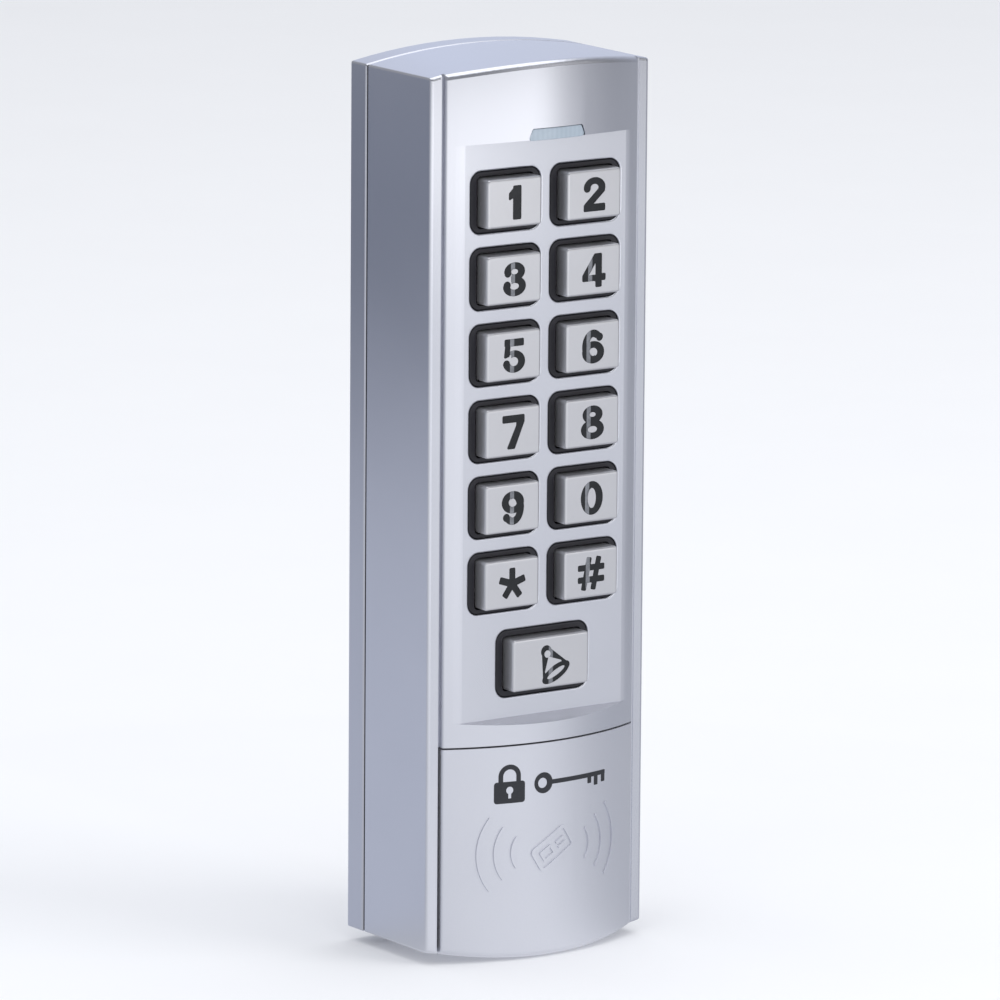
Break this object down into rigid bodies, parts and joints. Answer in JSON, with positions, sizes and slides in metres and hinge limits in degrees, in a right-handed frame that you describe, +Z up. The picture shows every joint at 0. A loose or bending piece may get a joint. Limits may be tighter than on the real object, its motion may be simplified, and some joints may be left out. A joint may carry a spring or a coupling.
{
  "type": "keypad access reader",
  "caption": "Slim upright metal keypad reader for a door: backlit push keys in two columns, a doorbell key, status window and card-reading panel on a wall bracket.",
  "frame": {"origin": "centre of the flat back face that lies on the wall, half way up", "axes": "+X to the right seen from the front, +Y into the wall, +Z up; the front faces -Y"},
  "size_m": [0.043, 0.0281, 0.148],
  "materials": {
    "bracket_metal": "satin silver lacquer over die-cast zinc",
    "housing_metal": "satin silver lacquer over die-cast zinc",
    "panel_plastic": "ABS with silver paint",
    "lens_plastic": "milky polycarbonate",
    "mat_rubber": "black silicone rubber",
    "board_laminate": "glass-epoxy circuit board, green mask",
    "switch_plastic": "black moulded plastic",
    "lamp_plastic": "lamp package, white resin",
    "coil_copper": "enamelled copper winding",
    "connector_plastic": "off-white nylon",
    "cover_plastic": "black ABS",
    "screw_steel": "stainless steel",
    "key_metal": "satin nickel plate over die-cast zinc",
    "legend_resin": "smoked clear resin",
    "stem_plastic": "red moulded plastic"
  },
  "bodies": {
    "reader": {"wall_bracket": "bracket_metal", "front_housing": "housing_metal", "reader_panel": "panel_plastic", "status_lens": "lens_plastic", "keypad_mat": "mat_rubber", "main_board": "board_laminate", "switch_bodies": "switch_plastic", "key_lamps": "lamp_plastic", "status_lamp": "lamp_plastic", "antenna_coil": "coil_copper", "buzzer": "switch_plastic", "controller_chip": "switch_plastic", "cable_connector": "connector_plastic", "tamper_sensor": "legend_resin", "rear_cover": "cover_plastic", "rim_seal": "mat_rubber", "cable_grommet": "mat_rubber", "security_screw": "screw_steel", "board_screws": "screw_steel", "cover_screws": "screw_steel", "panel_screws": "screw_steel"},
    "key_1": {"key_1_cap": "key_metal", "key_1_legend": "legend_resin", "key_1_stem": "stem_plastic"},
    "key_2": {"key_2_cap": "key_metal", "key_2_legend": "legend_resin", "key_2_stem": "stem_plastic"},
    "key_3": {"key_3_cap": "key_metal", "key_3_legend": "legend_resin", "key_3_stem": "stem_plastic"},
    "key_4": {"key_4_cap": "key_metal", "key_4_legend": "legend_resin", "key_4_stem": "stem_plastic"},
    "key_5": {"key_5_cap": "key_metal", "key_5_legend": "legend_resin", "key_5_stem": "stem_plastic"},
    "key_6": {"key_6_cap": "key_metal", "key_6_legend": "legend_resin", "key_6_stem": "stem_plastic"},
    "key_7": {"key_7_cap": "key_metal", "key_7_legend": "legend_resin", "key_7_stem": "stem_plastic"},
    "key_8": {"key_8_cap": "key_metal", "key_8_legend": "legend_resin", "key_8_stem": "stem_plastic"},
    "key_9": {"key_9_cap": "key_metal", "key_9_legend": "legend_resin", "key_9_stem": "stem_plastic"},
    "key_0": {"key_0_cap": "key_metal", "key_0_legend": "legend_resin", "key_0_stem": "stem_plastic"},
    "key_star": {"key_star_cap": "key_metal", "key_star_legend": "legend_resin", "key_star_stem": "stem_plastic"},
    "key_hash": {"key_hash_cap": "key_metal", "key_hash_legend": "legend_resin", "key_hash_stem": "stem_plastic"},
    "key_bell": {"key_bell_cap": "key_metal", "key_bell_legend": "legend_resin", "key_bell_stem": "stem_plastic"}
  },
  "joints": [
    {"name": "press_1", "type": "slide", "parent": "reader", "child": "key_1", "axis": [0, 1, 0], "range_m": [0, 0.0008], "stiffness_N_per_m": 900, "springref_m": -0.0006},
    {"name": "press_2", "type": "slide", "parent": "reader", "child": "key_2", "axis": [0, 1, 0], "range_m": [0, 0.0008], "stiffness_N_per_m": 900, "springref_m": -0.0006},
    {"name": "press_3", "type": "slide", "parent": "reader", "child": "key_3", "axis": [0, 1, 0], "range_m": [0, 0.0008], "stiffness_N_per_m": 900, "springref_m": -0.0006},
    {"name": "press_4", "type": "slide", "parent": "reader", "child": "key_4", "axis": [0, 1, 0], "range_m": [0, 0.0008], "stiffness_N_per_m": 900, "springref_m": -0.0006},
    {"name": "press_5", "type": "slide", "parent": "reader", "child": "key_5", "axis": [0, 1, 0], "range_m": [0, 0.0008], "stiffness_N_per_m": 900, "springref_m": -0.0006},
    {"name": "press_6", "type": "slide", "parent": "reader", "child": "key_6", "axis": [0, 1, 0], "range_m": [0, 0.0008], "stiffness_N_per_m": 900, "springref_m": -0.0006},
    {"name": "press_7", "type": "slide", "parent": "reader", "child": "key_7", "axis": [0, 1, 0], "range_m": [0, 0.0008], "stiffness_N_per_m": 900, "springref_m": -0.0006},
    {"name": "press_8", "type": "slide", "parent": "reader", "child": "key_8", "axis": [0, 1, 0], "range_m": [0, 0.0008], "stiffness_N_per_m": 900, "springref_m": -0.0006},
    {"name": "press_9", "type": "slide", "parent": "reader", "child": "key_9", "axis": [0, 1, 0], "range_m": [0, 0.0008], "stiffness_N_per_m": 900, "springref_m": -0.0006},
    {"name": "press_0", "type": "slide", "parent": "reader", "child": "key_0", "axis": [0, 1, 0], "range_m": [0, 0.0008], "stiffness_N_per_m": 900, "springref_m": -0.0006},
    {"name": "press_star", "type": "slide", "parent": "reader", "child": "key_star", "axis": [0, 1, 0], "range_m": [0, 0.0008], "stiffness_N_per_m": 900, "springref_m": -0.0006},
    {"name": "press_hash", "type": "slide", "parent": "reader", "child": "key_hash", "axis": [0, 1, 0], "range_m": [0, 0.0008], "stiffness_N_per_m": 900, "springref_m": -0.0006},
    {"name": "press_bell", "type": "slide", "parent": "reader", "child": "key_bell", "axis": [0, 1, 0], "range_m": [0, 0.0008], "stiffness_N_per_m": 900, "springref_m": -0.0006}
  ]
}
